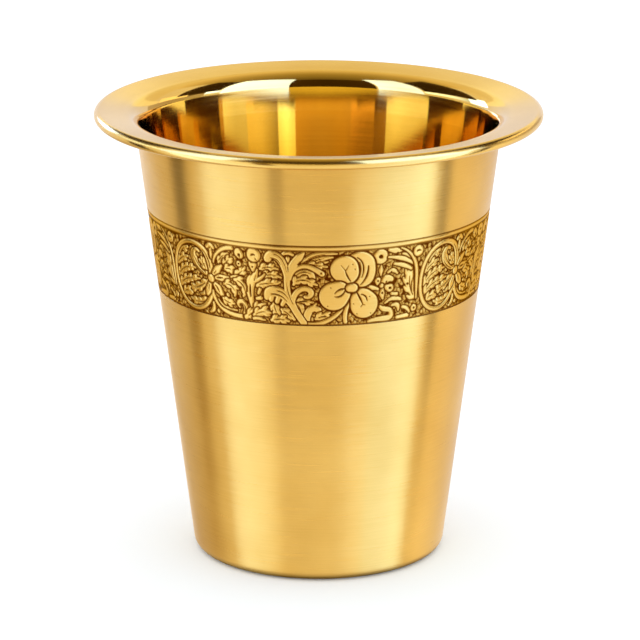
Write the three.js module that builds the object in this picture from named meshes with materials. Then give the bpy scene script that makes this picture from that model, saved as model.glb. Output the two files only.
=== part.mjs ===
// Brass tumbler: a tapered sheet-brass cup with a flared, wired lip and an engraved band.
// Millimetres, +Z up. The origin is the centre of the foot, on the surface that the tumbler stands on.
import * as THREE from "three";

// Overall sizes
const height = 96.4; // table to the top of the lip
const footRadius = 26.7; // outer wall line at the table, before the corner is rounded
const mouthRadius = 38.52; // outer wall line where the flare begins
const flareRise = 4.2; // start of the flare to the top of the lip
const flareReach = 8.78; // how far the lip stands out past the wall

// Sheet, wire and joints
const wallSheet = 1.2;
const floorSheet = 1.0;
const rimSheet = 0.55;
const bandSheet = 0.5;
const wireRadius = 0.5; // stiffening wire inside the rolled lip
const brazeGap = 0.1; // clearance that a brazed joint leaves between two pieces

// Bends, laps and fillets
const insideCorner = 1.3; // inside radius between the wall and its turned-in foot
const flareBend = 3.2; // radius of the bend under the flare
const footFlange = 6.0; // width of the flat, turned-in foot that the floor lies on
const lapLength = 5.0; // overlap of the wall's top and the rim's skirt
const filletLeg = 1.2; // braze fillet between the floor and the wall

// Engraved band
const bandDrop = 16.4; // start of the flare down to the top of the band
const bandHeight = 17.6;
const borderFillet = 0.75; // plain margin between the band's top edge and its border line
const borderLine = 0.35; // width of the border line
const borderDepth = 0.25; // depth of the border line

// Faceting
const aroundSteps = 64;
const arcStep = THREE.MathUtils.degToRad(20);
const edgeSteps = 4;

// The wall's outer line, and the heights that follow from it
const flareStart = height - flareRise;
const wallSlope = (mouthRadius - footRadius) / flareStart;
const lean = Math.atan(wallSlope);
const bandTop = flareStart - bandDrop;
const bandFoot = bandTop - bandHeight;
const lapFoot = flareStart - lapLength;
const lapSheet = wallSheet - rimSheet - brazeGap; // what the wall keeps of its thickness in the lap

// The foot's corner: one centre for its outside and inside arcs
const outsideCorner = insideCorner + wallSheet;
const cornerCentre = new THREE.Vector2(wallRadius(outsideCorner, outsideCorner), outsideCorner);

// The floor lies on the turned-in foot
const floorUnder = wallSheet + brazeGap;
const floorTop = floorUnder + floorSheet;

// The lip is rolled round its wire, and the flare runs straight from its bend to the roll
const rollInner = wireRadius + brazeGap;
const rollOuter = rollInner + rimSheet;
const skirtDepth = wallSheet - rimSheet; // the skirt's outer face, below the wall's outer line
const rollCentre = new THREE.Vector2(mouthRadius + flareReach - rollOuter, height - rollOuter);
const bendCentre = new THREE.Vector2(
  wallRadius(flareStart, skirtDepth) + flareBend * Math.cos(lean),
  flareStart - flareBend * Math.sin(lean),
);
const bendAngle = Math.PI - lean; // from the bend's centre to where the skirt ends
const flareNormal = tangentNormal(bendCentre, flareBend + rimSheet, rollCentre, rollOuter);
const rollWrap = 2 * Math.PI - Math.acos((rollInner - brazeGap) / rollOuter); // stops short of the flare

const brass = {
  satin: new THREE.MeshStandardMaterial({ color: 0xd9a441, metalness: 1, roughness: 0.35 }),
  polished: new THREE.MeshStandardMaterial({ color: 0xe3b04b, metalness: 1, roughness: 0.12 }),
  engraved: new THREE.MeshStandardMaterial({ color: 0xc8933a, metalness: 1, roughness: 0.45 }),
  filler: new THREE.MeshStandardMaterial({ color: 0xd2a95a, metalness: 1, roughness: 0.4 }),
};

// Radius of the wall at a height, at a depth square to its outer face.
function wallRadius(z, depth) {
  return footRadius + z * wallSlope - depth / Math.cos(lean);
}

function wallPoint(z, depth) {
  return new THREE.Vector2(wallRadius(z, depth), z);
}

// Inside of the cup near the floor: the corner's arc, then the wall, both moved in by a clearance.
function insideRadius(z, clearance) {
  const bend = insideCorner - clearance;
  const drop = cornerCentre.y - z;
  if (drop > bend * Math.sin(lean)) {
    return cornerCentre.x + Math.sqrt(bend * bend - drop * drop);
  }
  return wallRadius(z, wallSheet + clearance);
}

// Angle of the normal of the line that touches two circles from the same side.
function tangentNormal(centreA, radiusA, centreB, radiusB) {
  const across = centreB.clone().sub(centreA);
  return across.angle() + Math.acos((radiusA - radiusB) / across.length());
}

function arc(centre, radius, from, to) {
  const steps = Math.max(1, Math.ceil(Math.abs(to - from) / arcStep));
  return Array.from({ length: steps + 1 }, (_, i) => {
    const angle = from + ((to - from) * i) / steps;
    return new THREE.Vector2(
      centre.x + radius * Math.cos(angle),
      centre.y + radius * Math.sin(angle),
    );
  });
}

// A piece of revolution about Z. Its profile is given as radius and height, anticlockwise.
function turned(name, profile, material) {
  const onAxis = profile[0].x === 0;
  const outline = onAxis ? profile : [...profile, profile[0].clone()];
  const geometry = new THREE.LatheGeometry(outline, aroundSteps);
  geometry.rotateX(Math.PI / 2);
  const mesh = new THREE.Mesh(geometry, material);
  mesh.name = name;
  return mesh;
}

// The tapered wall: turned in at the foot, grooved for the band, thinned inside its top for the rim.
function cupWall() {
  const grooveDepth = bandSheet + brazeGap;
  return turned(
    "cup_wall",
    [
      new THREE.Vector2(cornerCentre.x - footFlange, 0),
      ...arc(cornerCentre, outsideCorner, -Math.PI / 2, -lean),
      wallPoint(bandFoot, 0),
      wallPoint(bandFoot, grooveDepth),
      wallPoint(bandTop, grooveDepth),
      wallPoint(bandTop, 0),
      wallPoint(flareStart, 0),
      wallPoint(flareStart, lapSheet),
      wallPoint(lapFoot, lapSheet),
      wallPoint(lapFoot, wallSheet),
      ...arc(cornerCentre, insideCorner, -lean, -Math.PI / 2),
      new THREE.Vector2(cornerCentre.x - footFlange, wallSheet),
    ],
    brass.satin,
  );
}

// The floor: a disc whose edge is rounded to sit in the wall's inside corner.
function baseDisc() {
  const edge = Array.from({ length: edgeSteps + 1 }, (_, i) => {
    const z = floorUnder + (floorSheet * i) / edgeSteps;
    return new THREE.Vector2(insideRadius(z, brazeGap), z);
  });
  return turned(
    "base_disc",
    [new THREE.Vector2(0, floorUnder), ...edge, new THREE.Vector2(0, floorTop)],
    brass.polished,
  );
}

// The braze fillet that joins the floor's edge to the wall.
function baseBrazeRing() {
  const foot = floorTop + brazeGap;
  const top = foot + filletLeg;
  const corner = new THREE.Vector2(insideRadius(foot, brazeGap), foot);
  const upper = new THREE.Vector2(insideRadius(top, brazeGap), top);
  const inner = new THREE.Vector2(corner.x - filletLeg, foot);
  const hollow = new THREE.QuadraticBezierCurve(upper, corner, inner).getPoints(edgeSteps);
  return turned("base_braze_ring", [corner, ...hollow], brass.filler);
}

// The spun rim: a skirt inside the wall, a bend, the flare, and the lip rolled round its wire.
function flaredRim() {
  const skirtFoot = lapFoot + brazeGap;
  const rollEnd = flareNormal - rollWrap;
  return turned(
    "flared_rim",
    [
      wallPoint(skirtFoot, skirtDepth),
      ...arc(bendCentre, flareBend, bendAngle, flareNormal),
      ...arc(rollCentre, rollInner, flareNormal, rollEnd),
      ...arc(rollCentre, rollOuter, rollEnd, flareNormal),
      ...arc(bendCentre, flareBend + rimSheet, flareNormal, bendAngle),
      wallPoint(skirtFoot, wallSheet),
    ],
    brass.polished,
  );
}

function rimWire() {
  const round = arc(rollCentre, wireRadius, 0, 2 * Math.PI);
  return turned("rim_wire", round.slice(0, -1), brass.satin);
}

// The braze that fills the groove between the wall's top edge and the flare's underside.
function rimBrazeRing() {
  const reach = flareBend - brazeGap;
  const foot = flareStart + brazeGap;
  const from = Math.PI - Math.asin((foot - bendCentre.y) / reach);
  const to = bendAngle - Math.acos((flareBend - skirtDepth) / reach);
  return turned(
    "rim_braze_ring",
    [wallPoint(foot, 0), ...arc(bendCentre, reach, to, from)],
    brass.filler,
  );
}

// The engraved strip that lies flush in the wall's groove, with a line cut below its top margin.
function engravedBand() {
  const foot = bandFoot + brazeGap;
  const top = bandTop - brazeGap;
  const lineTop = top - borderFillet;
  const lineFoot = lineTop - borderLine;
  return turned(
    "engraved_band",
    [
      wallPoint(foot, bandSheet),
      wallPoint(foot, 0),
      wallPoint(lineFoot, 0),
      wallPoint((lineFoot + lineTop) / 2, borderDepth),
      wallPoint(lineTop, 0),
      wallPoint(top, 0),
      wallPoint(top, bandSheet),
    ],
    brass.engraved,
  );
}

const tumbler = new THREE.Group();
tumbler.name = "brass_tumbler";
tumbler.add(
  cupWall(),
  baseDisc(),
  baseBrazeRing(),
  flaredRim(),
  rimWire(),
  rimBrazeRing(),
  engravedBand(),
);

export default tumbler;
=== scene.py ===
import math

import bpy
import numpy as np
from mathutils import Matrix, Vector


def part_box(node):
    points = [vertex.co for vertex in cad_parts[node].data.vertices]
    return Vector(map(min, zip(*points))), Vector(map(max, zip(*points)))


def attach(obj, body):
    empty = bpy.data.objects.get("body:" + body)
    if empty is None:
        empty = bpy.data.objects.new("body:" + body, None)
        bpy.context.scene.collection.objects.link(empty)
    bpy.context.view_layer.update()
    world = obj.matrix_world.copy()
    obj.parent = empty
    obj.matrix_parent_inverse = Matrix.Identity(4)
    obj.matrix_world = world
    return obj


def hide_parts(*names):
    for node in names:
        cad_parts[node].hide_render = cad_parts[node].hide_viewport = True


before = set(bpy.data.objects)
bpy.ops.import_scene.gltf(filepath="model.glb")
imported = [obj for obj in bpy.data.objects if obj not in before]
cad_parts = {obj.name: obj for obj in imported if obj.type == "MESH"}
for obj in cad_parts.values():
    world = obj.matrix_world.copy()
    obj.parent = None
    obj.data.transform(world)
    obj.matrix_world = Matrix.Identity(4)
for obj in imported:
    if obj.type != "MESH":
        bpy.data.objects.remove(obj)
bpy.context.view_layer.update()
mm = 0.001  # sizes below are in millimetres, Blender works in metres

bpy.context.scene.view_settings.view_transform = "Standard"

# camera, fitted to the lip's ellipse, the wall's outline and the foot
viewpoint = {
    "elevation": 16.06,  # degrees above the horizon
    "distance": 839.0,
    "aimHeight": 49.7,
    "lens": 220.8,
    "sensor": 36.0,
    "shift": 0.0021,  # the tumbler stands a little left of the middle
}

rise = math.radians(viewpoint["elevation"])
reach = viewpoint["distance"] * mm
aim = Vector((0, 0, viewpoint["aimHeight"] * mm))
bpy.ops.object.camera_add(
    location=aim + reach * Vector((0, -math.cos(rise), math.sin(rise))),
    rotation=(math.pi / 2 - rise, 0, 0),
)
camera = bpy.context.object
camera.data.lens = viewpoint["lens"]
camera.data.sensor_width = viewpoint["sensor"]
camera.data.shift_x = viewpoint["shift"]
bpy.context.scene.camera = camera
print("camera placed")


def linear(hexColour):
    parts = [int(hexColour[i : i + 2], 16) / 255 for i in (1, 3, 5)]
    return [c / 12.92 if c <= 0.04045 else ((c + 0.055) / 1.055) ** 2.4 for c in parts] + [1]


def addNode(tree, kind, settings, links=None):
    node = tree.nodes.new(kind)
    for key, value in settings.items():
        if isinstance(key, int) or key in node.inputs:
            node.inputs[key].default_value = value
        else:
            setattr(node, key, value)
    for key, socket in (links or {}).items():
        tree.links.new(socket, node.inputs[key])
    return node


# Cup: the sizes of the wall's outer line and its sheet
cup = {
    "footRadius": 26.7,  # outer line carried down to the table
    "mouthRadius": 38.52,  # outer line where the flare starts
    "sheet": 1.2,
    "corner": 2.5,  # outside radius at the foot
    "flange": 6.0,  # flat turned-in foot
    "groove": 0.6,  # depth of the seat that the band lies in
    "lap": 5.0,  # the rim's skirt overlaps the wall's top by this much
    "lapSheet": 0.55,  # what the wall keeps of its sheet in the lap
    "brazeGap": 0.1,  # clearance that the CAD leaves in a brazed joint
    "insideShare": 0.8,  # faces deeper in the sheet than this are the polished inside
    "footShare": 0.9,  # and those lower than this, in sheets, are the foot
}

# How a turned piece is meshed
turning = {
    "steps": 288,  # round the axis
    "arcStep": 6,  # degrees between the points of a profile's arc
    "edgeSteps": 8,  # along a short curved edge
    "mergeWithin": 0.002,
    "smoothBelow": 28,  # degrees
}

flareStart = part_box("cup_wall")[1].z / mm
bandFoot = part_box("engraved_band")[0].z / mm - cup["brazeGap"]
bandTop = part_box("engraved_band")[1].z / mm + cup["brazeGap"]
slope = (cup["mouthRadius"] - cup["footRadius"]) / flareStart
lean = math.atan(slope)


def wallPoint(z, depth):
    return (cup["footRadius"] + z * slope - depth / math.cos(lean), z)


def arcPoints(centre, radius, start, end, step=turning["arcStep"]):
    # arc in the profile's plane
    count = max(2, math.ceil(abs(math.degrees(end - start)) / step))
    angles = [start + (end - start) * i / count for i in range(count + 1)]
    return [(centre[0] + radius * math.cos(a), centre[1] + radius * math.sin(a)) for a in angles]


def drawProfile(name, profile, turn=0.0):
    # a plane merged to one point, then pulled along the profile of (radius, height) points
    spots = [Vector((r * math.sin(turn), -r * math.cos(turn), z)) * mm for r, z in profile]
    bpy.ops.object.select_all(action="DESELECT")
    bpy.ops.mesh.primitive_plane_add(size=mm)
    piece = bpy.context.object
    piece.name = name
    piece.data.name = name
    bpy.ops.object.mode_set(mode="EDIT")
    bpy.ops.mesh.select_mode(type="VERT")
    bpy.ops.mesh.select_all(action="SELECT")
    bpy.ops.mesh.merge(type="CENTER")
    bpy.ops.transform.translate(value=spots[0])
    for here, there in zip(spots, spots[1:]):
        bpy.ops.mesh.extrude_region_move(TRANSFORM_OT_translate={"value": there - here})
    return piece


def spinProfile(angle, steps):
    bpy.ops.mesh.select_all(action="SELECT")
    bpy.ops.mesh.spin(steps=steps, angle=-angle, center=(0, 0, 0), axis=(0, 0, 1))
    bpy.ops.mesh.select_all(action="SELECT")
    bpy.ops.mesh.remove_doubles(threshold=turning["mergeWithin"] * mm)
    bpy.ops.mesh.normals_make_consistent(inside=False)


def turnedPiece(name, profile):
    piece = drawProfile(name, profile + profile[:1])
    spinProfile(2 * math.pi, turning["steps"])
    bpy.ops.object.mode_set(mode="OBJECT")
    bpy.ops.object.shade_smooth_by_angle(angle=math.radians(turning["smoothBelow"]))
    return piece


def settle(piece, node):
    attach(piece, "root")
    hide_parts(node)
    print(piece.name, len(piece.data.polygons), "faces")


# Brushed and polished brass. Spun sheet keeps fine lines round its axis: they stretch a reflection along the
# wall's height and leave it sharp across, so bright and dark stripes run from lip to foot.
satinFinish = {
    "colour": "#EEBB5A",
    "dim": "#E0AB4C",
    "roughness": (0.27, 0.36),
    "lineSpacing": 0.30,
    "lineLength": 14.0,
    "lineDepth": 0.006,
    "anisotropy": 1.0,
}

# Buffed after spinning, inside the cup and on the lip: nearly a mirror, with faint turning lines.
polishedFinish = {
    "colour": "#EEC165",
    "dim": "#E4B558",
    "roughness": (0.09, 0.13),
    "lineSpacing": 0.55,
    "lineLength": 60.0,
    "lineDepth": 0.0006,
    "anisotropy": 0.9,
}

# Painted shade inside the cup: the brass colour is darkened towards the floor, deep in the hollow.
innerFinish = dict(polishedFinish, roughness=(0.04, 0.07), paintedShadeTint="#DACD88", paintedShadeBelow=70.0, unshadedAbove=92.0)

# The flare and its lip are rubbed by hand after the roll is closed: softer than the inside, past the bend.
lipFinish = dict(polishedFinish, roughness=(0.05, 0.08), bendStart=37.6, bendEnd=41.5, softer=0.15)

# In every finish the lines, with large soft clouds, mix two shades of brass and vary the roughness.
brushing = {
    "lineDetail": 2.0,
    "lineRoughness": 0.6,
    "lineWeight": 0.6,  # beside the clouds
    "cloudSize": 18.0,
    "cloudDetail": 3.0,
    "colourRange": (0.6, 1.0),  # of lines and clouds together, from the dim shade to the full one
    "roughRange": (0.3, 0.7),  # of the lines alone, from smooth to rough
    "quarterTurn": 0.25,  # sets the stretch across the lines
}


def brassMaterial(name, finish):
    material = bpy.data.materials.new(name)
    material.use_nodes = True
    tree = material.node_tree
    shader = tree.nodes["Principled BSDF"]
    shader.inputs["Metallic"].default_value = 1
    shader.inputs["Anisotropic"].default_value = finish["anisotropy"]
    shader.inputs["Anisotropic Rotation"].default_value = brushing["quarterTurn"]
    along = 1 / (finish["lineLength"] * mm)
    across = 1 / (finish["lineSpacing"] * mm)
    place = addNode(tree, "ShaderNodeTexCoord", {})
    stretch = addNode(
        tree, "ShaderNodeMapping", {"Scale": (along, along, across)}, {"Vector": place.outputs["Object"]}
    )
    lines = addNode(
        tree,
        "ShaderNodeTexNoise",
        {"Scale": 1.0, "Detail": brushing["lineDetail"], "Roughness": brushing["lineRoughness"]},
        {"Vector": stretch.outputs[0]},
    )
    cloud = addNode(
        tree,
        "ShaderNodeTexNoise",
        {"Scale": 1 / (brushing["cloudSize"] * mm), "Detail": brushing["cloudDetail"]},
        {"Vector": place.outputs["Object"]},
    )
    blend = addNode(
        tree,
        "ShaderNodeMath",
        {"operation": "MULTIPLY_ADD", 1: brushing["lineWeight"]},
        {0: lines.outputs[0], 2: cloud.outputs[0]},
    )
    dimmest, fullest = brushing["colourRange"]
    share = addNode(
        tree,
        "ShaderNodeMapRange",
        {"From Min": dimmest, "From Max": fullest},
        {0: blend.outputs[0]},
    )
    colour = addNode(
        tree,
        "ShaderNodeMix",
        {"data_type": "RGBA", 6: linear(finish["dim"]), 7: linear(finish["colour"])},
        {0: share.outputs[0]},
    )
    smoothest, roughest = brushing["roughRange"]
    low, high = finish["roughness"]
    rough = addNode(
        tree,
        "ShaderNodeMapRange",
        {"From Min": smoothest, "From Max": roughest, "To Min": low, "To Max": high},
        {0: lines.outputs[0]},
    )
    bump = addNode(
        tree,
        "ShaderNodeBump",
        {"Strength": 1.0, "Distance": finish["lineDepth"] * mm},
        {"Height": lines.outputs[0]},
    )
    grain = addNode(tree, "ShaderNodeTangent", {"direction_type": "RADIAL", "axis": "Z"})
    tree.links.new(colour.outputs[2], shader.inputs["Base Color"])
    tree.links.new(rough.outputs[0], shader.inputs["Roughness"])
    tree.links.new(bump.outputs[0], shader.inputs["Normal"])
    tree.links.new(grain.outputs[0], shader.inputs["Tangent"])
    return material, tree, shader, colour, rough


def tintBrass(tree, shader, colour, share, stops):
    # the brass colour times a ramp of (position, colour) stops
    tint = addNode(tree, "ShaderNodeValToRGB", {}, {0: share})
    for position, _ in stops[1:-1]:
        tint.color_ramp.elements.new(position)
    for element, (position, hexColour) in zip(tint.color_ramp.elements, stops):
        element.position = position
        element.color = linear(hexColour)
    darkened = addNode(
        tree,
        "ShaderNodeMix",
        {"data_type": "RGBA", "blend_type": "MULTIPLY", 0: 1.0},
        {6: colour.outputs[2], 7: tint.outputs[0]},
    )
    tree.links.new(darkened.outputs[2], shader.inputs["Base Color"])


satinBrass = brassMaterial("satinBrass", satinFinish)[0]

# inside of the cup, with painted shade that darkens it towards the floor
innerBrass, tree, shader, colour, _ = brassMaterial("innerBrass", innerFinish)
place = addNode(tree, "ShaderNodeTexCoord", {})
part = addNode(tree, "ShaderNodeSeparateXYZ", {}, {0: place.outputs["Object"]})
unshadedShare = addNode(
    tree,
    "ShaderNodeMapRange",
    {"From Min": innerFinish["paintedShadeBelow"] * mm, "From Max": innerFinish["unshadedAbove"] * mm},
    {0: part.outputs[2]},
)
tintBrass(tree, shader, colour, unshadedShare.outputs[0], ((0, innerFinish["paintedShadeTint"]), (1, "#FFFFFF")))

# flare and lip
polishedBrass, tree, shader, _, rough = brassMaterial("polishedBrass", lipFinish)
place = addNode(tree, "ShaderNodeTexCoord", {})
flat = addNode(
    tree,
    "ShaderNodeVectorMath",
    {"operation": "MULTIPLY", 1: (1, 1, 0)},
    {0: place.outputs["Object"]},
)
away = addNode(tree, "ShaderNodeVectorMath", {"operation": "LENGTH"}, {0: flat.outputs[0]})
pastBend = addNode(
    tree,
    "ShaderNodeMapRange",
    {"From Min": lipFinish["bendStart"] * mm, "From Max": lipFinish["bendEnd"] * mm},
    {0: away.outputs["Value"]},
)
soft = addNode(
    tree,
    "ShaderNodeMath",
    {"operation": "MULTIPLY_ADD", 1: lipFinish["softer"]},
    {0: pastBend.outputs[0], 2: rough.outputs[0]},
)
tree.links.new(soft.outputs[0], shader.inputs["Roughness"])

# Cup wall
cornerCentre = (wallPoint(cup["corner"], cup["corner"])[0], cup["corner"])
insideCorner = cup["corner"] - cup["sheet"]
lapFoot = flareStart - cup["lap"]
wallProfile = [
    (cornerCentre[0] - cup["flange"], 0),
    *arcPoints(cornerCentre, cup["corner"], -math.pi / 2, -lean),
    wallPoint(bandFoot, 0),
    wallPoint(bandFoot, cup["groove"]),
    wallPoint(bandTop, cup["groove"]),
    wallPoint(bandTop, 0),
    wallPoint(flareStart, 0),
    wallPoint(flareStart, cup["lapSheet"]),
    wallPoint(lapFoot, cup["lapSheet"]),
    wallPoint(lapFoot, cup["sheet"]),
    *arcPoints(cornerCentre, insideCorner, -lean, -math.pi / 2),
    (cornerCentre[0] - cup["flange"], cup["sheet"]),
]
wall = turnedPiece("cupWall", wallProfile)
wall.data.materials.append(satinBrass)
wall.data.materials.append(innerBrass)
for face in wall.data.polygons:
    middle = face.center / mm
    depth = wallPoint(middle.z, 0)[0] - math.hypot(middle.x, middle.y)
    inside = depth > cup["insideShare"] * cup["sheet"] and middle.z > cup["footShare"] * cup["sheet"]
    face.material_index = 1 if inside else 0
settle(wall, "cup_wall")


def insideRadius(z):
    # inside of the cup near the floor: the corner's arc, then the wall
    drop = cornerCentre[1] - z
    if drop > insideCorner * math.sin(lean):
        return cornerCentre[0] + math.sqrt(max(0, insideCorner**2 - drop**2))
    return wallPoint(z, cup["sheet"])[0]


# Floor disc, with a few rings left by turning
floorDisc = {
    "rings": 5,
    "ringStep": 3.4,
    "ringDepth": 0.025,
    "ringWidth": 0.5,
    "ringShoulder": 0.12,  # keeps the sheet flat between the rings
}

discFoot = cup["sheet"]
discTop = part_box("base_disc")[1].z / mm
discEdge = []
for i in range(turning["edgeSteps"] + 1):
    z = discFoot + (discTop - discFoot) * i / turning["edgeSteps"]
    discEdge.append((insideRadius(z), z))


def discRings(level, sink):
    # shallow rings on one face of the disc, from the middle outwards
    points = []
    half = floorDisc["ringWidth"] / 2
    shoulder = half + floorDisc["ringShoulder"]
    for i in range(floorDisc["rings"]):
        middle = (i + 1) * floorDisc["ringStep"]
        for offset, drop in ((-shoulder, 0), (-half, 0), (0, sink), (half, 0), (shoulder, 0)):
            points.append((middle + offset, level + drop))
    return points


underside = discRings(discFoot, floorDisc["ringDepth"])
upperSide = discRings(discTop, -floorDisc["ringDepth"])
disc = turnedPiece("baseDisc", [(0, discFoot), *underside, *discEdge, *reversed(upperSide), (0, discTop)])
disc.data.materials.append(innerBrass)
settle(disc, "base_disc")

# Braze fillet round the floor
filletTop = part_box("base_braze_ring")[1].z / mm
filletLeg = filletTop - discTop
corner = (insideRadius(discTop), discTop)
upper = (insideRadius(filletTop), filletTop)
inner = (corner[0] - filletLeg, discTop)
hollow = []
for i in range(turning["edgeSteps"] + 1):
    t = i / turning["edgeSteps"]
    ends = zip(upper, corner, inner)
    hollow.append(tuple((1 - t) ** 2 * a + 2 * t * (1 - t) * b + t**2 * c for a, b, c in ends))
fillet = turnedPiece("baseBrazeRing", [corner, *hollow])
fillet.data.materials.append(innerBrass)
settle(fillet, "base_braze_ring")

# Flared rim: skirt, bend, flare and a lip rolled round its wire
rim = {
    "sheet": 0.55,
    "bend": 3.2,  # under the flare
    "wire": 0.5,
    "rollStep": 8,  # degrees between the points of the roll's outside
    "wireStep": 15,  # and of what is hidden in it
}

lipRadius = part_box("flared_rim")[1].x / mm
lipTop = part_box("flared_rim")[1].z / mm
rollInner = rim["wire"] + cup["brazeGap"]
rollOuter = rollInner + rim["sheet"]
rollCentre = (lipRadius - rollOuter, lipTop - rollOuter)
skirtDepth = cup["sheet"] - rim["sheet"]
bendCentre = (
    wallPoint(flareStart, skirtDepth)[0] + rim["bend"] * math.cos(lean),
    flareStart - rim["bend"] * math.sin(lean),
)
bendStart = math.pi - lean
outerBend = rim["bend"] + rim["sheet"]
across = (rollCentre[0] - bendCentre[0], rollCentre[1] - bendCentre[1])
flareNormal = math.atan2(across[1], across[0]) + math.acos((outerBend - rollOuter) / math.hypot(*across))
rollEnd = flareNormal - 2 * math.pi + math.acos((rollInner - cup["brazeGap"]) / rollOuter)
rimProfile = [
    wallPoint(lapFoot, skirtDepth),
    *arcPoints(bendCentre, rim["bend"], bendStart, flareNormal),
    *arcPoints(rollCentre, rollInner, flareNormal, rollEnd, rim["wireStep"]),
    *arcPoints(rollCentre, rollOuter, rollEnd, flareNormal, rim["rollStep"]),
    *arcPoints(bendCentre, outerBend, flareNormal, bendStart),
    wallPoint(lapFoot, cup["sheet"]),
]
flare = turnedPiece("flaredRim", rimProfile)
flare.data.materials.append(polishedBrass)
settle(flare, "flared_rim")

wireRound = arcPoints(rollCentre, rim["wire"], 0, 2 * math.pi, rim["wireStep"])
wire = turnedPiece("rimWire", wireRound[:-1])
wire.data.materials.append(satinBrass)
settle(wire, "rim_wire")

# Braze in the groove between the wall's top and the flare
brazeFrom = bendStart - math.acos((rim["bend"] - skirtDepth) / rim["bend"])
brazeTo = math.pi - math.asin((flareStart - bendCentre[1]) / rim["bend"])
brazeProfile = [wallPoint(flareStart, 0), *arcPoints(bendCentre, rim["bend"], brazeFrom, brazeTo)]
braze = turnedPiece("rimBrazeRing", brazeProfile)
braze.data.materials.append(satinBrass)
settle(braze, "rim_braze_ring")

# Engraving: one repeat of a floral scroll, drawn flat as brush strokes of (along, up, width)
engraving = {
    "repeat": 57.9,  # length of the front repeat at the band's middle
    "pitch": 0.05,  # drawing step
    "sample": 0.06,  # step along a stroke
    "leastSamples": 4,
    "line": 0.28,  # cut line left round a form
    "petalLine": 0.38,  # round the large flower's petals
    "vein": 0.24,  # cut inside a form
    "taper": (0.7, 1, 0.4),  # a vein at its start, middle and tip, beside its full width
    "speck": 0.36,
    "edgeLine": 0.34,  # cut along the strip's edges and under its plain fillet
    "edgeTarnish": 0.8,
    "fillet": 0.72,
    "rounding": 0.3,  # a form's edge is rounded over this width
    "depth": 0.16,
}

# A flame leaf, whose lobes leave its spine one after the other
flameLeaf = {
    "spread": 1.35,  # spine and lobes, beside the widths in the drawing
    "first": 0.3,  # where the first lobe leaves, in spaces between lobes
    "shorter": 0.15,  # each lobe than the one before it
    "root": 0.6,  # a lobe's width where it leaves
    "bend": ((0.6, 50, 0.66), (1.1, 36, 0.28)),  # its points: share of its length, degrees, width
    "veinAt": (0.15, 0.45, 0.75),
    "vein": 0.2,
}

# The small leaves that fill the ground, each drawn from tail to tip over a curled back
groundLeaf = {
    "step": 0.96,
    "seed": 11,
    "rise": 0.4,  # of the first row, in steps
    "jitter": 0.28,
    "halfLength": (0.3, 0.62),
    "curl": 0.35,
    "width": (0.7, 0.95),
    "tail": 0.3,
    "tip": 0.34,
    "line": 0.12,
    "stain": 0.2,  # tarnish left on them
}

cell = engraving["pitch"]
columns = round(engraving["repeat"] / cell)
rows = round((bandTop - bandFoot) / cell)
pattern = np.ones((rows, columns))  # 1 where the graver cut, 0 where the brass stands
relief = np.zeros((rows, columns))  # 1 at a form's full height, 0 in a cut


def sweep(points):
    # smooth curve through a stroke's points
    spots = np.array(points, float)
    if len(spots) == 1:
        return spots
    steps = np.hypot(*np.diff(spots[:, :2], axis=0).T)
    at = np.concatenate([[0], np.cumsum(steps)])
    bend = np.zeros_like(spots)
    if len(spots) > 2:
        grid = np.zeros((len(spots), len(spots)))
        pull = np.zeros_like(spots)
        grid[0, :2] = (1, -1)
        grid[-1, -2:] = (1, -1)
        for i in range(1, len(spots) - 1):
            grid[i, i - 1 : i + 2] = (steps[i - 1], 2 * (steps[i - 1] + steps[i]), steps[i])
            pull[i] = 6 * ((spots[i + 1] - spots[i]) / steps[i] - (spots[i] - spots[i - 1]) / steps[i - 1])
        bend = np.linalg.solve(grid, pull)
    count = max(engraving["leastSamples"], int(at[-1] / engraving["sample"]))
    t = np.linspace(0, at[-1], count)
    i = np.clip(np.searchsorted(at, t) - 1, 0, len(spots) - 2)
    h = steps[i][:, None]
    a = (at[i + 1] - t)[:, None] / h
    b = 1 - a
    curve = a * spots[i] + b * spots[i + 1] + ((a**3 - a) * bend[i] + (b**3 - b) * bend[i + 1]) * h**2 / 6
    curve[:, 2] = np.interp(t, at, spots[:, 2])
    return curve


def windows(strokes, margin):
    # the part of the pattern near the strokes, with each cell's gap to their edge
    # what passes one end of the repeat comes in at the other
    path = np.vstack([sweep(stroke) for stroke in strokes])
    radii = path[:, 2] / 2
    span = radii.max() + margin + cell
    for shift in (-engraving["repeat"], 0, engraving["repeat"]):
        low = path[:, :2].min(0) + (shift, 0) - span
        high = path[:, :2].max(0) + (shift, 0) + span
        c0, r0 = np.maximum((low / cell).astype(int), 0)
        c1, r1 = np.minimum((high / cell).astype(int) + 1, (columns, rows))
        if c0 < c1 and r0 < r1:
            u = (np.arange(c0, c1) + 0.5) * cell - shift
            v = (np.arange(r0, r1)[:, None] + 0.5) * cell
            gap = np.full((r1 - r0, c1 - c0), np.inf)
            for (pu, pv), radius in zip(path[:, :2], radii):
                np.minimum(gap, np.hypot(u - pu, v - pv) - radius, out=gap)
            yield np.s_[r0:r1, c0:c1], gap


def form(*strokes, line=engraving["line"]):
    # strokes that stand as one form, with a cut line round it
    for spot, gap in windows(strokes, line):
        ring = np.clip(0.5 - (gap - line) / cell, 0, 1)
        inside = np.clip(0.5 - gap / cell, 0, 1)
        dome = 1 - (1 - np.clip(-gap / engraving["rounding"], 0, 1)) ** 2
        pattern[spot] = np.maximum(pattern[spot], ring) * (1 - inside)
        relief[spot] = relief[spot] * (1 - ring) + dome


def vein(*points, width=engraving["vein"]):
    # a tapered line cut into a form
    sizes = np.interp(np.linspace(0, 1, len(points)), (0, 0.5, 1), engraving["taper"]) * width
    stroke = [(u, v, size) for (u, v), size in zip(points, sizes)]
    for spot, gap in windows([stroke], 0):
        inside = np.clip(0.5 - gap / cell, 0, 1)
        pattern[spot] = np.maximum(pattern[spot], inside)
        relief[spot] *= 1 - inside


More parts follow.
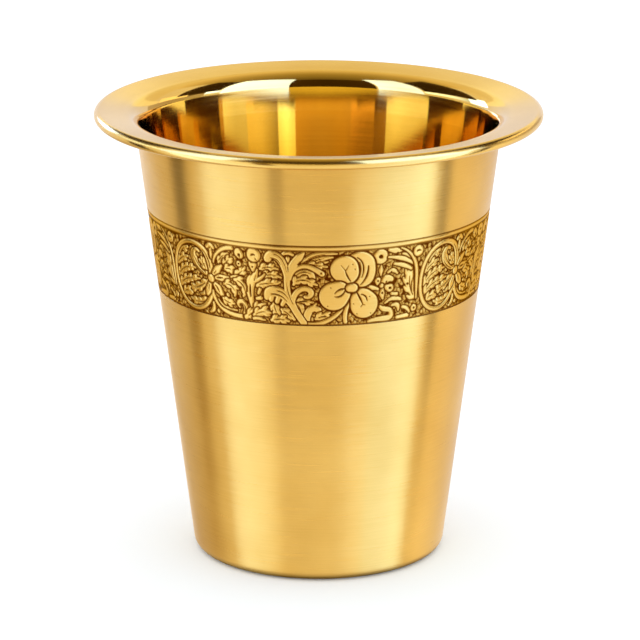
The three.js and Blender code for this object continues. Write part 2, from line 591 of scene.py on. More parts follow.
def speck(u, v, size=engraving["speck"]):
    # a dot is a vein's start
    vein((u, v), width=size / engraving["taper"][0])


def leaf(*points, lobes=3, reach=0.9, sides=(1, -1)):
    # flame leaf: lobes stand out from the sides of its spine and bend forward
    spread = flameLeaf["spread"]
    first = flameLeaf["first"]
    spine = [(u, v, spread * width) for u, v, width in points]
    path = sweep(spine)
    strokes = [spine]
    for i in range(lobes):
        spot = int((i + first) / (lobes + first) * (len(path) - 2))
        u, v, width = path[spot]
        heading = math.atan2(*(path[spot + 1, :2] - path[spot, :2])[::-1])
        length = width / 2 + reach * (1 - flameLeaf["shorter"] * i)
        for side in sides:
            lobe = [(u, v, flameLeaf["root"] * spread)]
            for share, turn, size in flameLeaf["bend"]:
                angle = heading + side * math.radians(turn)
                tip = (u + share * length * math.cos(angle), v + share * length * math.sin(angle))
                lobe.append((*tip, size * spread))
            strokes.append(lobe)
    form(*strokes)
    middle = [tuple(path[int(share * (len(path) - 1)), :2]) for share in flameLeaf["veinAt"]]
    vein(*middle, width=flameLeaf["vein"])


def ground():
    rng = np.random.RandomState(groundLeaf["seed"])
    step = groundLeaf["step"]
    jitter = groundLeaf["jitter"]
    for row in range(int((bandTop - bandFoot) / step) + 1):
        for column in range(round(engraving["repeat"] / step)):
            u = (column + 0.5 * (row % 2)) * step + rng.uniform(-jitter, jitter)
            v = (row + groundLeaf["rise"]) * step + rng.uniform(-jitter, jitter)
            turn = rng.uniform(0, 2 * math.pi)
            length = rng.uniform(*groundLeaf["halfLength"])
            curl = rng.uniform(-groundLeaf["curl"], groundLeaf["curl"])
            width = rng.uniform(*groundLeaf["width"])
            a = math.cos(turn)
            b = math.sin(turn)
            tail = (u - length * a, v - length * b, groundLeaf["tail"])
            back = (u - curl * b, v + curl * a, width)
            tip = (u + length * a, v + length * b, groundLeaf["tip"])
            form([tail, back, tip], line=groundLeaf["line"])
    np.maximum(pattern, groundLeaf["stain"], out=pattern)


def medallion():
    # leaves inside the oval
    leaf((2.4, 11.4, 0.5), (3.6, 13.0, 0.8), (5.4, 14.0, 0.5), lobes=2, reach=0.9)
    leaf((1.6, 9.8, 0.5), (3.2, 11.2, 0.8), (5.2, 11.9, 0.4), lobes=2, reach=0.83)
    leaf((1.5, 7.0, 0.5), (3.2, 8.8, 0.8), (5.6, 9.7, 0.6), (7.4, 9.8, 0.3), lobes=4, reach=0.9)
    leaf((1.7, 5.0, 0.5), (3.6, 6.6, 0.8), (6.0, 7.3, 0.7), (8.4, 7.6, 0.3), lobes=4, reach=0.9)
    leaf((10.6, 7.6, 0.5), (8.6, 6.2, 1.0), (6.6, 5.4, 0.9), (4.6, 5.0, 0.4), lobes=3, reach=0.83)
    leaf((2.6, 3.4, 0.5), (3.8, 4.2, 0.8), (5.4, 4.0, 0.5), lobes=2, reach=0.83)
    leaf((10.3, 3.6, 0.5), (8.6, 2.6, 0.9), (6.6, 2.4, 0.7), (5.0, 2.8, 0.4), lobes=3, reach=0.83)
    form([(8.2, 4.3, 0.5), (9.2, 4.6, 0.8), (9.8, 5.6, 0.4)])
    # broad leaf that curls over the flower's heart
    form([(10.9, 9.0, 0.8), (9.2, 9.9, 1.6), (7.6, 11.5, 2.0), (7.0, 12.9, 1.5), (7.7, 13.9, 0.9),
          (8.8, 13.7, 0.6)])
    vein((10.3, 9.4), (8.8, 10.4), (7.4, 12.2))
    vein((9.8, 9.2), (8.2, 10.0), (6.8, 11.6), width=0.2)
    vein((10.0, 9.9), (8.8, 11.2), (8.1, 12.6), width=0.2)
    leaf((10.6, 10.2, 0.4), (9.7, 11.4, 0.6), (9.4, 12.6, 0.3), lobes=2, reach=0.75)
    # the oval frame, from the flower's heart round to the scroll below it
    form([(11.7, 9.4, 1.2), (11.5, 12.0, 1.5), (10.2, 14.3, 1.2), (7.9, 15.4, 0.95), (5.0, 15.2, 0.9),
          (2.6, 13.7, 0.9), (1.0, 11.0, 0.9), (0.5, 8.0, 0.9), (0.9, 5.0, 0.9), (2.4, 2.5, 0.9),
          (5.0, 1.1, 0.9), (7.8, 1.2, 0.9), (10.2, 2.8, 1.0), (11.6, 5.4, 1.0)],
         [(11.7, 5.4, 1.0), (12.6, 3.4, 0.9), (14.4, 1.8, 0.9), (17.0, 1.1, 0.9), (20.4, 1.1, 0.9)])
    vein((11.6, 10.6), (11.2, 12.6), (9.9, 14.3), width=0.2)
    # flower
    form([(11.2, 7.2, 0.9), (10.6, 5.6, 1.6), (10.2, 4.6, 0.8)])
    vein((11.0, 6.8), (10.7, 5.8))
    form([(12.3, 7.3, 0.9), (13.4, 6.2, 1.9), (14.1, 5.3, 1.2)])
    vein((12.7, 7.0), (13.3, 6.3), (13.6, 5.6))
    form([(12.5, 8.6, 0.7), (14.2, 8.8, 1.5), (16.4, 9.2, 0.4)])
    vein((13.3, 8.7), (14.0, 8.8), (14.8, 8.9), width=0.36)
    form([(12.2, 9.3, 0.7), (13.4, 10.5, 1.6), (14.6, 11.5, 0.5)])
    vein((12.6, 9.6), (13.2, 10.2))
    form([(11.6, 8.3, 1.75)])
    # under and over the flower
    form([(11.7, 2.9, 0.7), (11.6, 1.6, 1.0), (10.6, 0.8, 0.6)])
    form([(12.9, 1.3, 0.9)])
    form([(11.2, 15.2, 0.8), (12.0, 15.7, 0.9), (12.8, 15.2, 0.8)],
         [(12.0, 15.3, 0.6), (12.1, 13.6, 0.9), (12.1, 12.8, 0.3)])
    speck(12.0, 15.1)


def bracket():
    form([(13.2, 4.0, 0.3), (14.2, 2.9, 0.45), (16.2, 2.3, 0.45), (17.8, 2.2, 0.3)])
    leaf((13.9, 12.2, 0.4), (14.9, 13.6, 0.7), (16.4, 14.4, 0.4), lobes=2, reach=0.75)
    leaf((15.4, 11.6, 0.4), (16.2, 12.8, 0.6), (17.4, 13.5, 0.3), lobes=2, reach=0.75)
    leaf((15.4, 10.9, 0.4), (16.5, 11.2, 0.7), (17.6, 10.5, 0.4), lobes=2, reach=0.7)
    leaf((17.6, 9.8, 0.4), (19.0, 10.6, 0.7), (20.3, 12.0, 0.3), lobes=2, reach=0.75)
    form([(16.8, 9.4, 0.4), (18.6, 9.7, 0.7), (20.2, 9.4, 0.4)])
    leaf((17.6, 8.9, 0.5), (19.2, 8.4, 0.9), (20.0, 7.0, 0.8), (19.5, 5.6, 0.4), lobes=2, reach=0.9)
    leaf((14.9, 7.6, 0.4), (16.4, 7.6, 0.7), (17.5, 6.6, 0.7), (17.4, 5.4, 0.4), lobes=2, reach=0.83)
    form([(15.7, 5.3, 0.9)])
    leaf((14.4, 4.4, 0.4), (15.8, 3.7, 0.6), (17.2, 3.6, 0.3), lobes=2, reach=0.68)
    form([(12.6, 12.0, 0.4), (13.2, 13.6, 0.7), (14.8, 15.1, 0.8), (17.4, 15.8, 0.9)])
    form([(20.9, 4.7, 0.4), (20.6, 2.9, 0.8), (19.9, 1.6, 0.5)])
    form([(19.5, 1.8, 0.7), (19.9, 3.2, 1.0), (19.0, 4.4, 0.9), (18.1, 3.9, 0.8), (18.5, 3.1, 0.5)])
    vein((19.6, 2.2), (19.8, 3.1), (19.2, 4.0), width=0.2)
    form([(18.9, 15.0, 1.9), (19.2, 14.6, 1.7)])
    speck(19.1, 14.6, 0.55)
    vein((19.2, 14.6), (19.3, 13.8))
    form([(18.9, 12.6, 1.2)])
    speck(18.9, 12.6, 0.4)


def uprightLeaf():
    leaf((23.6, 12.0, 0.4), (25.2, 12.5, 0.7), (27.4, 12.2, 0.3), lobes=2, reach=0.68)
    leaf((24.0, 10.4, 0.4), (25.8, 10.9, 0.7), (28.0, 10.4, 0.3), lobes=2, reach=0.75)
    leaf((22.8, 8.2, 0.5), (24.6, 8.9, 0.9), (26.4, 9.0, 0.7), (27.7, 9.4, 0.4), lobes=3, reach=0.75)
    form([(23.0, 6.6, 0.6), (23.4, 7.5, 0.7)])
    form([(22.6, 5.4, 0.6), (23.5, 5.6, 0.8)])
    form([(21.7, 2.8, 0.8), (21.2, 6.0, 1.3), (21.5, 8.4, 1.5), (22.3, 10.2, 1.3), (23.0, 11.8, 0.3)],
         [(21.3, 7.6, 1.0), (20.9, 9.2, 1.0), (21.4, 10.2, 0.5)],
         [(21.0, 5.2, 0.8), (20.5, 6.4, 0.4)],
         [(22.2, 9.2, 0.9), (23.4, 9.8, 0.7), (24.6, 11.0, 0.3)])
    vein((21.3, 5.8), (21.2, 7.2), (21.3, 8.4), width=0.34)
    vein((22.3, 9.4), (22.7, 10.6))
    form([(22.0, 12.9, 1.8), (22.0, 11.6, 0.7)])
    speck(22.0, 12.3)
    form([(22.3, 14.9, 3.0)])
    vein((21.9, 14.9), (22.2, 15.0), (22.7, 14.9), width=0.42)
    vein((22.7, 14.2), (23.0, 13.7))
    # leaf spray along the foot of the band
    leaf((19.8, 1.0, 0.7), (21.6, 2.3, 0.9), (23.0, 3.6, 0.9), (24.4, 4.4, 0.3), lobes=2, reach=1.05)
    leaf((21.8, 1.6, 0.6), (23.8, 2.6, 1.0), (25.6, 2.6, 0.5), lobes=2, reach=0.9)
    form([(21.6, 0.9, 0.6), (23.4, 1.0, 0.7), (24.2, 0.8, 0.4)])


def acanthus():
    form([(28.4, 15.5, 0.6), (29.5, 15.9, 0.9), (30.5, 15.5, 0.6)])
    speck(29.6, 15.4, 0.3)
    form([(29.5, 14.7, 0.8), (29.5, 13.6, 0.3)])
    form([(31.0, 12.4, 0.5), (32.6, 14.1, 0.8), (34.6, 15.4, 1.0), (37.0, 15.8, 0.8), (39.4, 15.8, 0.3)])
    form([(32.4, 13.2, 0.4), (34.4, 14.2, 0.8), (36.2, 14.7, 1.0), (37.6, 15.0, 0.7), (38.6, 15.0, 0.3)],
         [(35.0, 14.2, 0.5), (36.6, 13.9, 0.6), (37.6, 14.1, 0.3)])
    vein((33.6, 14.7), (35.2, 15.4), (37.0, 15.7), width=0.18)
    vein((33.8, 13.9), (35.4, 14.5), (36.8, 14.8), width=0.18)
    leaf((33.6, 13.7, 0.3), (35.6, 13.3, 0.5), (37.4, 13.0, 0.3), lobes=2, reach=0.5)
    leaf((30.7, 10.3, 0.4), (32.4, 11.8, 0.7), (34.0, 11.6, 0.8), (34.8, 10.2, 0.4),
         lobes=3, reach=0.75, sides=(-1,))
    leaf((30.6, 9.0, 0.4), (32.0, 10.2, 0.7), (33.5, 9.8, 0.7), (35.4, 9.0, 0.3), lobes=3, reach=0.75)
    leaf((31.2, 5.4, 0.4), (32.4, 5.4, 0.6), (34.6, 5.2, 0.3), lobes=2, reach=0.6)
    leaf((31.4, 4.8, 0.4), (31.9, 3.6, 0.7), (32.4, 2.2, 0.3), lobes=2, reach=0.75)
    # bottom scrolls
    form([(33.4, 0.9, 1.1), (33.4, 2.5, 1.5), (34.3, 3.7, 1.5), (35.7, 3.5, 1.2)],
         [(34.4, 4.2, 0.5), (35.2, 4.9, 0.4)])
    vein((34.4, 2.9), (35.0, 3.2), width=0.36)
    leaf((35.2, 1.6, 0.5), (36.8, 2.1, 1.0), (38.4, 1.7, 0.4), lobes=2, reach=0.75)
    speck(37.0, 2.15, 0.42)
    form([(33.2, 0.5, 0.7), (37.0, 0.9, 0.9), (39.6, 2.5, 0.8), (41.2, 4.4, 0.3)])
    leaf((26.4, 4.6, 0.6), (26.6, 3.3, 0.8), (27.4, 2.1, 0.4), lobes=2, reach=0.75)
    leaf((28.0, 3.4, 0.5), (29.2, 2.6, 0.8), (30.6, 1.3, 0.4), lobes=2, reach=0.75)
    leaf((25.7, 0.9, 0.5), (27.6, 1.3, 0.8), (29.4, 0.9, 0.4), lobes=2, reach=0.75)
    # trunk with its fork, arms and volute, all one form
    form([(32.6, 0.6, 1.3), (30.9, 3.2, 1.4), (29.6, 6.0, 1.2), (29.2, 9.0, 1.2), (29.4, 11.4, 1.4)],
         [(29.3, 10.8, 1.4), (28.6, 13.2, 1.5), (27.4, 14.9, 1.7), (26.0, 15.3, 1.7), (25.3, 14.4, 1.6)],
         [(29.5, 10.8, 1.4), (30.6, 13.3, 1.7), (31.8, 15.0, 1.5), (32.6, 15.9, 0.7)],
         [(29.8, 10.2, 0.7), (31.2, 12.5, 0.8), (33.0, 13.1, 0.9), (34.8, 12.5, 1.0), (36.4, 11.4, 1.1)],
         [(30.2, 4.2, 1.2), (30.7, 6.6, 1.1), (31.9, 7.9, 1.1), (33.4, 8.1, 1.1), (34.2, 7.2, 1.1),
          (33.6, 6.4, 0.9), (33.0, 6.4, 0.8)],
         [(30.6, 3.8, 1.4), (28.9, 6.2, 1.9), (27.0, 7.3, 2.3), (25.4, 7.0, 2.1), (24.8, 5.9, 1.2)],
         [(26.0, 6.4, 0.9), (25.7, 5.4, 0.9)],
         [(27.4, 6.2, 0.9), (27.0, 5.1, 0.9)],
         [(28.6, 5.4, 0.9), (28.1, 4.5, 0.8)])
    speck(36.2, 11.6, 0.4)
    vein((26.0, 14.6), (27.2, 14.3), (28.0, 13.2))
    vein((31.5, 13.4), (32.0, 14.1), width=0.36)
    vein((31.6, 6.6), (32.3, 7.2), (32.9, 7.1))
    vein((25.8, 6.7), (27.4, 6.6), (29.2, 5.2))
    vein((27.0, 7.6), (28.4, 7.1), (29.4, 5.9), width=0.18)
    vein((26.6, 15.6), (27.8, 15.0), (28.8, 13.4), (29.2, 11.8), width=0.18)
    vein((30.4, 4.8), (29.5, 7.0), (29.2, 9.4), width=0.18)
    vein((29.5, 12.8), (29.5, 12.0), width=0.4)


def bigFlower():
    form([(41.4, 0.8, 0.8), (41.3, 2.4, 0.9), (42.0, 5.0, 0.6), (42.5, 7.0, 0.3)])
    form([(44.6, 8.0, 0.4), (46.6, 8.0, 1.0), (48.2, 7.5, 0.5)])
    form([(44.0, 8.9, 1.0), (44.7, 11.0, 5.3), (44.1, 12.7, 6.6)], line=engraving["petalLine"])
    vein((43.5, 14.8), (44.5, 13.8), (44.9, 12.2), (44.5, 10.4), width=0.34)
    vein((45.9, 12.8), (45.6, 10.7), (44.3, 8.8), width=0.38)
    vein((44.0, 13.8), (44.3, 12.2), (44.1, 10.6), width=0.2)
    form([(42.3, 9.7, 0.8), (41.5, 11.6, 4.9), (40.95, 12.4, 5.7)], line=engraving["petalLine"])
    vein((42.2, 9.8), (41.5, 11.0), (41.1, 12.2), width=0.36)
    vein((41.1, 12.1), (40.2, 13.3))
    vein((41.2, 12.1), (41.8, 13.2))
    form([(41.4, 8.3, 0.8), (39.7, 7.1, 5.2), (38.9, 6.5, 6.1)], line=engraving["petalLine"])
    vein((41.3, 8.1), (40.1, 8.0), (39.0, 7.1), width=0.36)
    vein((41.1, 7.6), (40.3, 6.6), (39.0, 6.4), width=0.36)
    form([(43.6, 7.3, 0.8), (44.9, 5.4, 5.0), (45.4, 4.4, 5.9)], line=engraving["petalLine"])
    vein((43.5, 7.4), (44.4, 5.8), (45.0, 4.5), width=0.42)
    vein((45.0, 4.5), (44.5, 3.9))
    vein((45.0, 4.5), (45.5, 4.3))
    vein((44.6, 6.7), (45.5, 6.2), (45.9, 5.2), width=0.34)
    form([(42.2, 8.2, 1.7), (42.9, 8.2, 1.8)], line=engraving["petalLine"])
    dots = (
        (38.2, 8.4), (37.6, 4.4), (42.6, 13.4), (43.1, 12.3),
        (43.0, 4.7), (46.4, 6.1), (43.8, 2.5), (46.8, 2.4),
    )
    for u, v in dots:
        speck(u, v, 0.24)


def blossom():
    form([(48.5, 14.6, 3.1)])
    speck(48.5, 14.6, 0.9)
    form([(48.7, 12.6, 0.3), (48.7, 11.6, 1.0), (48.7, 10.5, 0.3)])
    form([(48.1, 9.4, 1.3), (48.0, 8.6, 0.4)])
    speck(48.1, 9.3, 0.42)
    form([(50.3, 11.0, 0.5), (51.4, 11.3, 0.9), (52.4, 10.6, 0.5)])
    speck(51.0, 11.0, 0.4)
    form([(49.2, 8.6, 0.7), (50.0, 9.6, 1.7), (51.2, 9.4, 1.0)])
    speck(50.0, 9.0)
    form([(49.6, 7.9, 0.5), (50.9, 7.5, 1.7)])
    speck(50.9, 7.5, 0.6)
    form([(49.2, 7.4, 0.6), (49.2, 6.4, 1.2), (49.4, 5.3, 0.4)])
    speck(49.2, 6.6, 0.48)
    form([(49.0, 8.2, 0.9)])
    form([(50.0, 4.3, 0.4), (51.6, 5.0, 1.0), (53.6, 4.7, 0.6)])
    vein((50.8, 4.5), (51.6, 4.6), (52.4, 4.5))
    form([(51.4, 6.2, 0.6), (52.6, 6.0, 0.7)])
    form([(46.4, 0.6, 0.6), (49.6, 0.9, 1.1), (51.5, 1.4, 1.2), (51.4, 2.4, 0.9), (49.8, 3.0, 1.1),
          (48.9, 3.6, 0.6)])
    vein((49.4, 2.0), (50.2, 1.9), (51.0, 1.9))
    form([(51.6, 3.6, 0.5), (53.0, 3.4, 1.0), (53.2, 2.4, 0.5)])
    form([(53.0, 0.8, 0.7), (55.6, 0.9, 0.9)])
    form([(54.2, 2.9, 0.6), (55.4, 2.4, 0.8), (56.0, 1.6, 0.5)])


def sideLeaf():
    # lobed leaf on a bowed stem, with long blades over it
    leaf((57.3, 4.4, 0.4), (56.3, 5.7, 0.8), (55.6, 7.6, 1.5), (55.4, 9.6, 1.4), (55.8, 11.4, 0.6),
         lobes=4, reach=1.4, sides=(1,))
    speck(55.0, 7.9, 0.55)
    vein((56.2, 6.2), (56.0, 7.6), (56.3, 9.2))
    form([(51.6, 12.7, 0.5), (53.6, 12.2, 0.9), (55.7, 11.2, 0.7)])
    form([(50.2, 14.3, 0.4), (53.0, 13.8, 0.9), (56.2, 12.4, 0.9)])
    form([(53.4, 14.7, 0.4), (55.0, 14.1, 0.7), (56.4, 12.9, 0.4)])
    form([(50.3, 15.9, 0.6), (51.7, 15.6, 1.2), (53.0, 15.5, 0.6)])
    speck(52.2, 15.1)
    form([(53.0, 16.0, 0.3), (55.2, 14.6, 0.6), (56.8, 12.0, 0.8), (57.3, 8.4, 0.8), (57.5, 4.4, 0.4)])
    form([(57.2, 14.8, 2.4)])
    vein((56.8, 14.8), (57.2, 14.9), (57.7, 14.8), width=0.42)
    form([(57.1, 2.3, 1.5)])
    speck(57.1, 2.3, 0.5)


def borders():
    # lines along both edges, and the plain fillet under the top one
    edge = round(engraving["edgeLine"] / cell)
    fillet = round(engraving["fillet"] / cell)
    for field, cut, plain in ((pattern, engraving["edgeTarnish"], 0), (relief, 0, 1)):
        field[:edge] = cut
        field[-edge:] = cut
        field[-edge - fillet : -edge] = plain
        field[-2 * edge - fillet : -edge - fillet] = cut


def softened(field):
    # each cell with its neighbours, up and along
    for axis in (0, 1):
        field = (np.roll(field, 1, axis) + 2 * field + np.roll(field, -1, axis)) / 4
    return field


ground()
medallion()
bracket()
uprightLeaf()
acanthus()
blossom()
sideLeaf()
bigFlower()
borders()
pattern = softened(pattern)
relief = softened(relief)
print("engraving drawn, share cut", round(float(pattern.mean()), 3))

# Engraved band: four repeats, each its own piece
band = {
    "frontStart": -58.0,  # degrees from the front, where the first repeat starts
    "frontTurn": 94.0,
    "sheet": 0.5,
    "steps": 480,  # along one repeat
    "rowCuts": 100,
    "slack": 0.01,  # radians, for a first column that rounding puts before its start
    "leastSink": 0.002,
    "smoothBelow": 50,  # degrees
}

# The same satin sheet after engraving. Its cuts hold brown tarnish that thins to an amber stain beside them,
# so the drawing reads dark on gold.
engravedFinish = dict(satinFinish, anisotropy=0.9)
tarnish = {
    "clean": "#FFFFFF",
    "stain": "#CFB98C",
    "cut": "#683900",
    "edge": "#F0D8AC",  # keeps the cuts brown where the wall turns away
    "stainShare": 0.35,
    "roughness": 0.45,
}

engravedBrass, tree, shader, colour, rough = brassMaterial("engravedBrass", engravedFinish)
cutShare = addNode(tree, "ShaderNodeAttribute", {"attribute_type": "GEOMETRY", "attribute_name": "cut"})
tarnishStops = ((0, tarnish["clean"]), (tarnish["stainShare"], tarnish["stain"]), (1, tarnish["cut"]))
tintBrass(tree, shader, colour, cutShare.outputs["Fac"], tarnishStops)
dulled = addNode(
    tree,
    "ShaderNodeMix",
    {"data_type": "FLOAT", 3: tarnish["roughness"]},
    {0: cutShare.outputs["Fac"], 2: rough.outputs[0]},
)
tree.links.new(dulled.outputs[0], shader.inputs["Roughness"])
shader.inputs["Specular Tint"].default_value = linear(tarnish["edge"])


def fieldAt(field, u, v):
    # a drawn field between its cells
    lastRow = rows - 1.001  # the row above it is still in the field
    x = u / cell - 0.5
    y = np.clip(v / cell - 0.5, 0, lastRow)
    c = np.floor(x).astype(int)
    r = np.floor(y).astype(int)
    fx = x - c
    fy = y - r
    lower = field[r, c % columns] * (1 - fx) + field[r, (c + 1) % columns] * fx
    upper = field[r + 1, c % columns] * (1 - fx) + field[r + 1, (c + 1) % columns] * fx
    return lower * (1 - fy) + upper * fy


def bandPiece(name, start, turn):
    piece = drawProfile(name, [wallPoint(bandFoot, 0), wallPoint(bandTop, 0)], start)
    bpy.ops.mesh.select_all(action="SELECT")
    bpy.ops.mesh.subdivide(number_cuts=band["rowCuts"])
    bpy.ops.object.mode_set(mode="OBJECT")
    sweepRound = piece.modifiers.new("sweepRound", "SCREW")
    sweepRound.angle = turn
    sweepRound.steps = band["steps"]
    sweepRound.render_steps = band["steps"]
    sweepRound.use_normal_calculate = True
    bpy.ops.object.modifier_apply(modifier="sweepRound")
    spots = np.empty(3 * len(piece.data.vertices))
    piece.data.vertices.foreach_get("co", spots)
    spots = spots.reshape(-1, 3) / mm
    angle = np.arctan2(spots[:, 0], -spots[:, 1]) - start
    angle = np.mod(angle + band["slack"], 2 * math.pi) - band["slack"]
    along = angle / turn * engraving["repeat"]
    up = spots[:, 2] - bandFoot
    layer = piece.data.attributes.new("cut", "FLOAT", "POINT")
    layer.data.foreach_set("value", fieldAt(pattern, along, up))
    depths = 1 - fieldAt(relief, along, up)
    group = piece.vertex_groups.new(name="sunk")
    for index in np.nonzero(depths > band["leastSink"])[0].tolist():
        group.add([index], depths[index], "REPLACE")
    sink = piece.modifiers.new("sink", "DISPLACE")
    sink.vertex_group = "sunk"
    sink.mid_level = 0
    sink.strength = -engraving["depth"] * mm
    bpy.ops.object.modifier_apply(modifier="sink")
    thick = piece.modifiers.new("sheet", "SOLIDIFY")
    thick.thickness = (band["sheet"] - engraving["depth"]) * mm
    thick.offset = -1
    bpy.ops.object.modifier_apply(modifier="sheet")
    piece.data.materials.append(engravedBrass)
    bpy.ops.object.shade_smooth_by_angle(angle=math.radians(band["smoothBelow"]))
    settle(piece, "engraved_band")


bandPiece("bandFront", math.radians(band["frontStart"]), math.radians(band["frontTurn"]))
otherNames = ("bandRight", "bandBack", "bandLeft")
otherTurn = (360 - band["frontTurn"]) / len(otherNames)
for i, name in enumerate(otherNames):
    start = band["frontStart"] + band["frontTurn"] + i * otherTurn
    bandPiece(name, math.radians(start), math.radians(otherTurn))

# Stage: white floor, white surround, soft cards and dark flags that only the metal sees
stage = {
    "floorSize": 4000.0,
    "floorDrop": 0.05,  # the foot's flat face stays clear of the paper
    "floorColour": "#EFF6FD",
    "floorGlow": 0.09,
    "roomLight": 1.25,
}

bpy.ops.object.select_all(action="DESELECT")
bpy.ops.mesh.primitive_plane_add(size=stage["floorSize"] * mm, location=(0, 0, -stage["floorDrop"] * mm))
floor = bpy.context.object
floor.name = "floor"
floor.visible_glossy = False
floorPaper = bpy.data.materials.new("floorPaper")
floorPaper.use_nodes = True
tree = floorPaper.node_tree
tree.nodes.clear()
rays = addNode(tree, "ShaderNodeLightPath", {})
seen = addNode(
    tree,
    "ShaderNodeMath",
    {"operation": "ADD", "use_clamp": True},
    {0: rays.outputs["Is Camera Ray"], 1: rays.outputs["Is Transmission Ray"]},
)
glow = addNode(
    tree, "ShaderNodeMath", {"operation": "MULTIPLY", 1: stage["floorGlow"]}, {0: seen.outputs[0]}
)
paper = addNode(tree, "ShaderNodeBsdfDiffuse", {"Color": linear(stage["floorColour"])})
light = addNode(tree, "ShaderNodeEmission", {"Color": (1, 1, 1, 1)}, {"Strength": glow.outputs[0]})
both = addNode(tree, "ShaderNodeAddShader", {}, {0: paper.outputs[0], 1: light.outputs[0]})
# from below, the paper is clear
under = addNode(tree, "ShaderNodeNewGeometry", {})
clear = addNode(tree, "ShaderNodeBsdfTransparent", {})
oneSided = addNode(
    tree, "ShaderNodeMixShader", {}, {0: under.outputs["Backfacing"], 1: both.outputs[0], 2: clear.outputs[0]}
)
addNode(tree, "ShaderNodeOutputMaterial", {}, {"Surface": oneSided.outputs[0]})
floor.data.materials.append(floorPaper)

# Room: white where it is seen, a little brighter where it lights the floor
world = bpy.data.worlds.new("room")
bpy.context.scene.world = world
world.use_nodes = True
tree = world.node_tree
tree.nodes.clear()
rays = addNode(tree, "ShaderNodeLightPath", {})
seen = addNode(
    tree,
    "ShaderNodeMath",
    {"operation": "ADD"},
    {0: rays.outputs["Is Camera Ray"], 1: rays.outputs["Is Glossy Ray"]},
)
seen = addNode(
    tree,
    "ShaderNodeMath",
    {"operation": "ADD", "use_clamp": True},
    {0: seen.outputs[0], 1: rays.outputs["Is Transmission Ray"]},
)
level = addNode(
    tree,
    "ShaderNodeMapRange",
    {"To Min": stage["roomLight"], "To Max": 1.0},
    {0: seen.outputs[0]},
)
sky = addNode(tree, "ShaderNodeBackground", {"Color": (1, 1, 1, 1)}, {"Strength": level.outputs[0]})
addNode(tree, "ShaderNodeOutputWorld", {}, {"Surface": sky.outputs[0]})

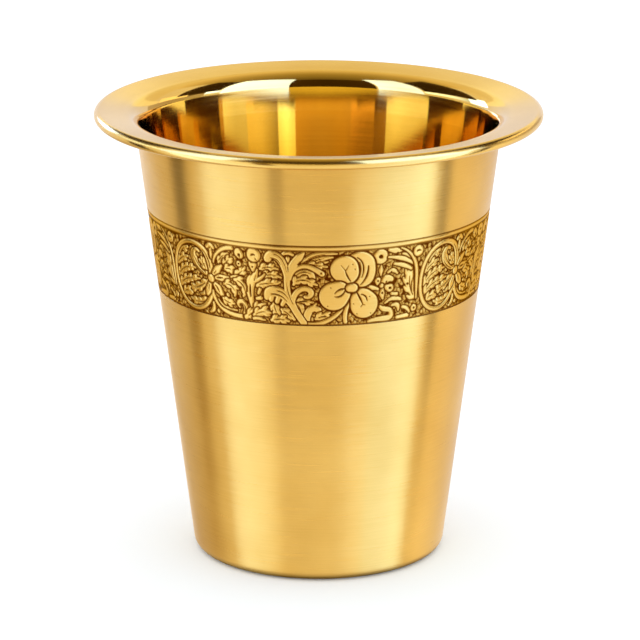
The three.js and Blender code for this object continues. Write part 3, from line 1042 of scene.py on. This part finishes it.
# Softboxes, flags and screens stand round the tumbler, each at an azimuth from the camera, positive to the
# right. Most shade from one edge through the middle to the other. Only the metal sees them.
cards = {
    "softboxLeft": {
        "span": (-74, -31), "height": (-600, 100), "distance": 230,
        "colours": ("#A8C0FF", "#C4D6FF", "#E8EEFF"), "strength": (4.3, 2.5, 1.6),
    },
    "fillFront": {
        "span": (-31, 9), "height": (-600, 20), "distance": 230,
        "colours": ("#E8EEFF", "#E4EBFF", "#E4EBFF"), "strength": (1.5, 1.55, 1.6),
    },
    "fillRight": {
        "span": (9, 37), "height": (-600, 60), "distance": 230,
        "colours": ("#E4EBFF", "#E0E8FF", "#D4E0FF"), "strength": (1.55, 1.65, 2.0),
    },
    "softboxRight": {
        "span": (37, 75), "height": (-600, 100), "distance": 230,
        "colours": ("#BBD0FF", "#A8C0FF", "#98B8FF"), "strength": (2.5, 3.3, 5.6),
    },
    "upperLeft": {
        "span": (-79, -43), "height": (110, 500), "distance": 230,
        "colours": ("#88A8FF",), "strength": (6.0, 5.6, 7.0),
    },
    "upperRight": {
        "span": (21, 73), "height": (110, 500), "distance": 230,
        "colours": ("#88A8FF",), "strength": (6.5, 7.0, 7.5),
    },
    "glowSide": {
        "span": (73, 86), "height": (150, 210), "distance": 300,
        "colours": ("#88A8FF",), "strength": (7.5, 7.5, 7.0),
    },
    "flagLeft": {
        "span": (-95.2, -83.2), "height": (22, 100), "distance": 140,
        "colours": ("#2A1D04",),
    },
    "flagLeftFoot": {
        "span": (-95.2, -83.2), "height": (-6, 22), "distance": 140,
        "colours": ("#D8B830",),
    },
    "flagRight": {
        "span": (75.3, 82.6), "height": (8, 100), "distance": 140,
        "colours": ("#2A1D04",),
    },
    "flagFront": {
        "span": (-27.5, -19.5), "height": (35, 100), "distance": 140,
        "colours": ("#806A3A",),
    },
    "sideLeft": {
        "span": (-150, -98), "height": (-600, 10), "distance": 230,
        "colours": ("#D8CDB4",),
    },
    "sideRight": {
        "span": (82, 120), "height": (-600, 60), "distance": 230,
        "colours": ("#FFFFFF",), "strength": (1.25, 1.25, 1.1),
    },
    "cameraScreen": {
        "span": (-40, 25), "height": (150, 800), "distance": 500,
        "colours": ("#4A3810", "#403008", "#4A3810"),
    },
    "warmFront": {
        "span": (-40, 25), "height": (95, 150), "distance": 500,
        "colours": ("#FFE76C",), "strength": (1.0, 1.1, 1.0),
    },
    "glowLeft": {
        "span": (-124, -79), "height": (150, 205), "distance": 300,
        "colours": ("#A8C4FF",), "strength": (2.0, 4.4, 4.8),
    },
    "glowRight": {
        "span": (85, 150), "height": (100, 181), "distance": 300,
        "colours": ("#C8C0B4", "#C8C0B4", "#D4CCC0"),
    },
    "gapRight": {
        "span": (86, 103), "height": (178, 240), "distance": 295,
        "colours": ("#6A5A36",),
    },
    "glowBack": {
        "span": (103, 136), "height": (181, 240), "distance": 300,
        "colours": ("#FFF6E0",), "strength": (1.6, 1.8, 1.6),
    },
    "shadeLeft": {
        "span": (-146, -86), "height": (142, 280), "distance": 110,
        "colours": ("#4A3A18", "#3A2C10", "#3A2C10"),
    },
    "shadeRight": {
        "span": (80, 125), "height": (142, 280), "distance": 110,
        "colours": ("#3A2C10", "#3A2C10", "#4A3A18"),
    },
    "warmBack": {
        "span": (140, 220), "height": (212, 520), "distance": 400,
        "colours": ("#FFFAE0", "#FCF3BE", "#FFFAE0"),
    },
    "backdrop": {
        "span": (150, 212), "height": (100, 185), "distance": 300,
        "colours": ("#EAEEFF",), "strength": (1.2, 1.15, 1.2),
    },
    "backdropTop": {
        "span": (136, 212), "height": (185, 235), "distance": 300,
        "colours": ("#FFFFEC", "#FFFFD0", "#FFFFEC"), "strength": (1.25, 1.25, 1.3),
    },
    "stripBack": {
        "span": (212, 236), "height": (140, 225), "distance": 300,
        "colours": ("#88ACFF", "#80A4FF", "#88ACFF"), "strength": (9.0, 14.0, 9.0),
    },
}


def hideFromCamera(card, name):
    # seen by the metal alone, so it casts no light or shade on the floor
    card.name = name
    card.visible_camera = False
    card.visible_diffuse = False
    card.visible_shadow = False
    cloth = bpy.data.materials.new(name)
    cloth.use_nodes = True
    cloth.node_tree.nodes.clear()
    card.data.materials.append(cloth)
    return cloth.node_tree


def hangCard(name, location, rotation, size, colours, strength=(1.0, 1.0, 1.0)):
    # a single colour stands at both edges and in the middle
    if len(colours) == 1:
        colours = colours * len(strength)
    bpy.ops.object.select_all(action="DESELECT")
    bpy.ops.mesh.primitive_plane_add(size=mm, location=location * mm, rotation=rotation)
    card = bpy.context.object
    card.scale = (*size, 1)
    tree = hideFromCamera(card, name)
    place = addNode(tree, "ShaderNodeTexCoord", {})
    part = addNode(tree, "ShaderNodeSeparateXYZ", {}, {0: place.outputs["UV"]})
    ramp = addNode(tree, "ShaderNodeValToRGB", {}, {0: part.outputs[0]})
    ramp.color_ramp.elements.new(0.5)
    for stop, colour, level in zip(ramp.color_ramp.elements, colours, strength):
        stop.color = [c * level for c in linear(colour)]
    light = addNode(tree, "ShaderNodeEmission", {"Strength": 1.0}, {"Color": ramp.outputs[0]})
    addNode(tree, "ShaderNodeOutputMaterial", {}, {"Surface": light.outputs[0]})


for name, look in cards.items():
    low, high = map(math.radians, look["span"])
    foot, top = look["height"]
    away = look["distance"]
    turn = (low + high) / 2
    width = 2 * away * math.tan((high - low) / 2)
    spot = Vector((away * math.sin(turn), -away * math.cos(turn), (foot + top) / 2))
    shading = {key: look[key] for key in ("colours", "strength") if key in look}
    hangCard(name, spot, (math.pi / 2, 0, turn), (width, top - foot), **shading)

# dim ceiling, from over the camera to far behind the tumbler
ceiling = {"height": 800, "middle": 40, "size": (1220, 1000), "colours": ("#665A34", "#B0A268", "#FFF2C4")}
hangCard(
    "ceiling",
    Vector((0, ceiling["middle"], ceiling["height"])),
    (0, 0, math.pi / 2),
    ceiling["size"],
    ceiling["colours"],
)

# shade under the foot, as the metal close above it sees it
footShade = {"open": 24.0, "dark": 26.0, "light": 28.5, "drop": 0.3, "level": 0.03}
ringEdges = [(footShade[edge], -footShade["drop"]) for edge in ("open", "light")]
shadeRing = drawProfile("footShade", ringEdges)
spinProfile(2 * math.pi, turning["steps"])
bpy.ops.object.mode_set(mode="OBJECT")
tree = hideFromCamera(shadeRing, "footShade")
place = addNode(tree, "ShaderNodeTexCoord", {})
away = addNode(tree, "ShaderNodeVectorMath", {"operation": "LENGTH"}, {0: place.outputs["Object"]})
level = addNode(
    tree,
    "ShaderNodeMapRange",
    {
        "From Min": footShade["dark"] * mm,
        "From Max": footShade["light"] * mm,
        "To Min": footShade["level"],
        "To Max": 1.0,
    },
    {0: away.outputs["Value"]},
)
light = addNode(tree, "ShaderNodeEmission", {}, {"Strength": level.outputs[0]})
addNode(tree, "ShaderNodeOutputMaterial", {}, {"Surface": light.outputs[0]})
print("stage set")
